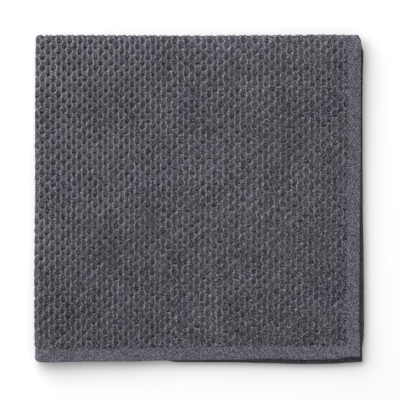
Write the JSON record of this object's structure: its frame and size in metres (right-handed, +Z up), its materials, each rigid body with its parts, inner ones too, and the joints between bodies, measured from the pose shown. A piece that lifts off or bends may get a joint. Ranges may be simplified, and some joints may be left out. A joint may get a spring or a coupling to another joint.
{
  "type": "folded kitchen towel",
  "caption": "Square hemmed kitchen towel in a honeycomb weave, folded in half along its top and again along its left side, lying flat.",
  "frame": {"origin": "middle of the folded towel's outline, on the surface that it lies on", "axes": "+Z up through the layers, +X towards the hemmed edges at the right, +Y towards the folded top edge"},
  "size_m": [0.2521, 0.2524, 0.012],
  "materials": {
    "grey_cotton": "matte cotton honeycomb weave, piece-dyed dark cool grey"
  },
  "bodies": {
    "root": {"towel_cloth": "grey_cotton"}
  },
  "joints": []
}
